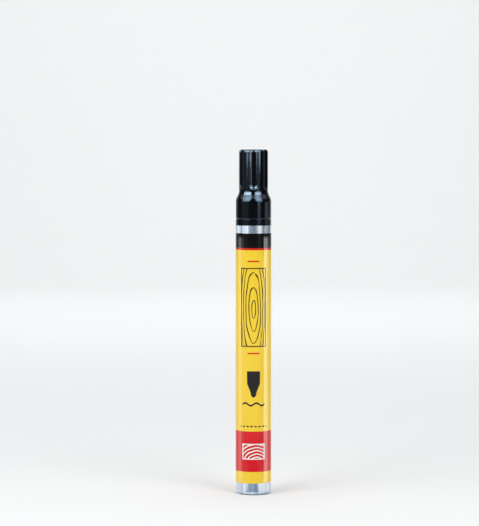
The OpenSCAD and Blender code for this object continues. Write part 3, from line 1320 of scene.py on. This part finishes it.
@dataclass(frozen=True)
class Softbox:
    """One soft light, placed by the direction that it shines from."""

    name: str
    azimuth: float
    elevation: float
    distance: float
    width: float
    height: float
    radiance: float
    aim: Place = (0.0, 0.0, 130.0)
    spread: float = 180.0
    colour: Colour = (0.95, 0.975, 1.0)
    shows_on: tuple[str, ...] = ()

    def lamp(self) -> Object:
        """Make the lamp; white paper in plain light has a radiance of 1.

        Returns:
            The lamp.
        """
        data = bpy.data.lights.new(self.name, "AREA")
        data.shape = "RECTANGLE"
        data.size, data.size_y = self.width * MM, self.height * MM
        data.spread = math.radians(self.spread)
        # A narrower spread gathers the light, so the power comes down to keep the radiance
        grid_share = 1 - data.spread / 2 / math.tan(data.spread / 2)
        data.energy = LAMP_POWER * self.radiance * grid_share * data.size * data.size_y
        data.color = self.colour
        made = bpy.data.objects.new(self.name, data)
        made.visible_camera = False
        bpy.context.scene.collection.objects.link(made)
        return made

    def hang(self) -> None:
        """Hang the lamp, as a gleam in the named pieces alone where it has some."""
        turn, lift = math.radians(self.azimuth), math.radians(self.elevation)
        level = math.cos(lift)
        away = Vector((math.sin(turn) * level, -math.cos(turn) * level, math.sin(lift)))
        lamp = self.lamp()
        lamp.location = (Vector(self.aim) + away * self.distance) * MM
        lamp.rotation_euler = away.to_track_quat("Z", "Y").to_euler()
        if self.shows_on:
            lamp.visible_diffuse = False
            pieces = bpy.data.collections.new(f"{self.name}_shows_on")
            for name in self.shows_on:
                pieces.objects.link(bpy.data.objects[name])
            lamp.light_linking.receiver_collection = pieces


@dataclass
class Studio:
    """The paper sweep, the card, the lights and the camera."""

    camera_at: Place = (-5.91, -949.0, 152.4)
    camera_aim: Place = (-5.91, 0.0, 97.82)
    camera_clip: Point = (10.0, 20000.0)
    lens: float = 153.83
    paper_half_width: float = 5000.0
    paper_front: float = -5000.0
    paper_back: float = 1300.0
    paper_bend: float = 500.0
    paper_bend_rows: int = 25
    paper_top: float = 1500.0
    paper_drop: float = 0.05
    card_azimuths: Point = (-35.0, 25.0)
    card_reach: Point = (9.5, 150.0)
    card_lift: float = 0.02
    card_rows: int = 25
    # Colour of the card that only mirrors see; it sets the painted reflection in the metal foot
    painted_reflection_colour: Colour = (0.30, 0.37, 0.47)
    film_aim: Place = (0.0, 0.0, 54.0)
    ring_aim: Place = (0.0, 0.0, 108.9)
    rim_aim: Place = (0.0, 0.0, 115.5)
    backdrop_aim: Place = (0.0, 1800.0, 300.0)
    narrow_spread: float = 60.0
    sky: Colour = (0.66, 0.83, 1.0)
    warm: Colour = (1.0, 0.95, 0.88)
    dusk: Colour = (0.4, 0.7, 1.0)
    room_light: Colour = (0.05, 0.052, 0.055)

    def softboxes(self) -> list[Softbox]:
        """List the lights, by azimuth, elevation, distance, width, height and radiance.

        Returns:
            Two tall softboxes in front with their brighter middles, one at each side and two dim feet,
            the gleams of the black plastic, the film and the bare metal, one light overhead and one for
            the backdrop.
        """
        black = partial(Softbox, shows_on=("cap_shell", "neck_moulding", "nib_holder"))
        film = partial(Softbox, shows_on=("label_wrap",), aim=self.film_aim, spread=self.narrow_spread)
        metal = partial(Softbox, shows_on=("barrel_tube",))
        ring = partial(metal, aim=self.ring_aim, spread=self.narrow_spread, colour=self.warm)
        return [
            Softbox("left_front", -52, 33.5, 900, 957, 1147, 0.62),
            Softbox("right_front", 38, 33.5, 900, 764, 1147, 0.62),
            Softbox("left_middle", -45, 35, 890, 510, 477, 2.65),
            Softbox("right_middle", 36, 35, 890, 411, 477, 2.65),
            Softbox("left_side", -100, 45, 1000, 800, 600, 0.66),
            Softbox("right_side", 100, 45, 1000, 800, 600, 0.66),
            Softbox("left_foot", -58, -3.5, 900, 801, 142, 0.15),
            Softbox("right_foot", 38, -3.5, 900, 317, 142, 0.34),
            black("left_cap_gleam", -52, 34, 896, 957, 1120, 2.4, colour=self.sky),
            black("right_cap_gleam", 38, 34, 896, 764, 1120, 2.2, colour=self.sky),
            black("left_cap_glint", -52, 33.5, 886, 900, 200, 8.6, colour=self.warm),
            black("right_cap_glint", 38, 33.5, 886, 720, 200, 4.8, colour=self.warm),
            black("left_cap_streak", -50, 1.5, 900, 220, 52, 3.0),
            black("right_cap_streak", 49, 1.5, 900, 190, 52, 5.0),
            black("right_cap_line", 33, 0.3, 900, 150, 90, 1.4),
            black("rim_gleam", 92, 0, 95, 56, 11, 0.65, self.rim_aim, self.narrow_spread),
            film("left_strip", -93, 0, 36, 21, 107, 3.2),
            film("left_strip_edge", -68, 0, 36, 12, 107, 0.9),
            film("right_strip", 77, 0, 36, 18, 107, 7.2),
            film("right_strip_edge", 94, 0, 38, 15, 107, 2.6),
            metal("left_ring_gleam", -58, -3.5, 896, 801, 142, 0.85, colour=self.warm),
            metal("right_ring_gleam", 42, -3.5, 896, 450, 142, 0.42, colour=self.warm),
            ring("left_ring_edge", -112, 0, 95, 92, 8, 1.7),
            ring("right_ring_edge", 92, 0, 95, 66, 8, 0.7),
            metal("ring_sheen", -9, -3.3, 894, 560, 120, 0.19, colour=self.dusk),
            Softbox("overhead", 180, 75, 1100, 1000, 800, 1.65),
            Softbox("backdrop_light", 0, 35, 1200, 2000, 500, 3.0, self.backdrop_aim),
        ]

    def sheet(self, name: str, rows: list[list[Place]], paper: StudioPaper) -> Object:
        """Make a sheet of the stage.

        Args:
            name: Name of the new object.
            rows: Rows of points, as many in each.
            paper: The sheet's finish.

        Returns:
            The sheet.
        """
        points = [point for row in rows for point in row]
        made = mesh_object(name, points, woven(numbered(len(rows), len(rows[0])), closed=False))
        made.data.materials.append(paper.make())
        return made

    def sweep(self) -> None:
        """Build the floor and backdrop as one bent sheet of paper."""
        curve = [
            (self.paper_back + self.paper_bend * math.sin(a), self.paper_bend * (1 - math.cos(a)))
            for a in angles(0, 90, self.paper_bend_rows)
        ]
        run = [(self.paper_front, 0.0), *curve, (self.paper_back + self.paper_bend, self.paper_top)]
        sides = (-self.paper_half_width, self.paper_half_width)
        rows = [[(x, y, z - self.paper_drop) for x in sides] for y, z in run]
        self.sheet("paper_sweep", rows, StudioPaper())

    def dark_card(self) -> None:
        """Lay a blue-grey card in front of the foot, seen in mirrors alone, which paints a darker, bluer
        reflection into the middle of the metal foot.
        """
        rows = [
            [(r * math.sin(a), -r * math.cos(a), self.card_lift) for r in self.card_reach]
            for a in angles(*self.card_azimuths, self.card_rows)
        ]
        card = self.sheet("dark_card", rows, StudioPaper("painted_reflection_card", self.painted_reflection_colour, fleck=None))
        # The card is hidden from the camera, from diffuse light and from shadows, so it only paints a
        # reflection
        card.visible_camera = False
        card.visible_diffuse = False
        card.visible_shadow = False
        card.visible_transmission = False

    def room(self) -> None:
        """Fill the room with a little even light."""
        world = bpy.data.worlds.new("room")
        world.use_nodes = True
        world.node_tree.nodes["Background"].inputs["Color"].default_value = (*self.room_light, 1.0)
        bpy.context.scene.world = world

    def camera(self) -> None:
        """Set up the camera at the photograph's viewing angle."""
        data = bpy.data.cameras.new("camera")
        data.lens = self.lens
        data.clip_start, data.clip_end = (distance * MM for distance in self.camera_clip)
        made = bpy.data.objects.new("camera", data)
        at, aim = Vector(self.camera_at), Vector(self.camera_aim)
        made.location = at * MM
        made.rotation_euler = (at - aim).to_track_quat("Z", "Y").to_euler()
        bpy.context.scene.collection.objects.link(made)
        bpy.context.scene.camera = made

    def build(self) -> None:
        """Build the stage, its lights and the camera."""
        bpy.context.scene.view_settings.view_transform = "Standard"
        self.sweep()
        self.dark_card()
        self.room()
        for softbox in self.softboxes():
            softbox.hang()
        self.camera()
        LOG.info("set up the studio")


def main() -> None:
    """Build the marker's sub-assemblies and the studio in order."""
    logging.basicConfig(level=logging.INFO, format="%(message)s")
    for part in (Barrel(), Label(), Front(), Valve(), Cap(), MixingBalls(), Studio()):
        part.build()


if __name__ == "__main__":
    main()
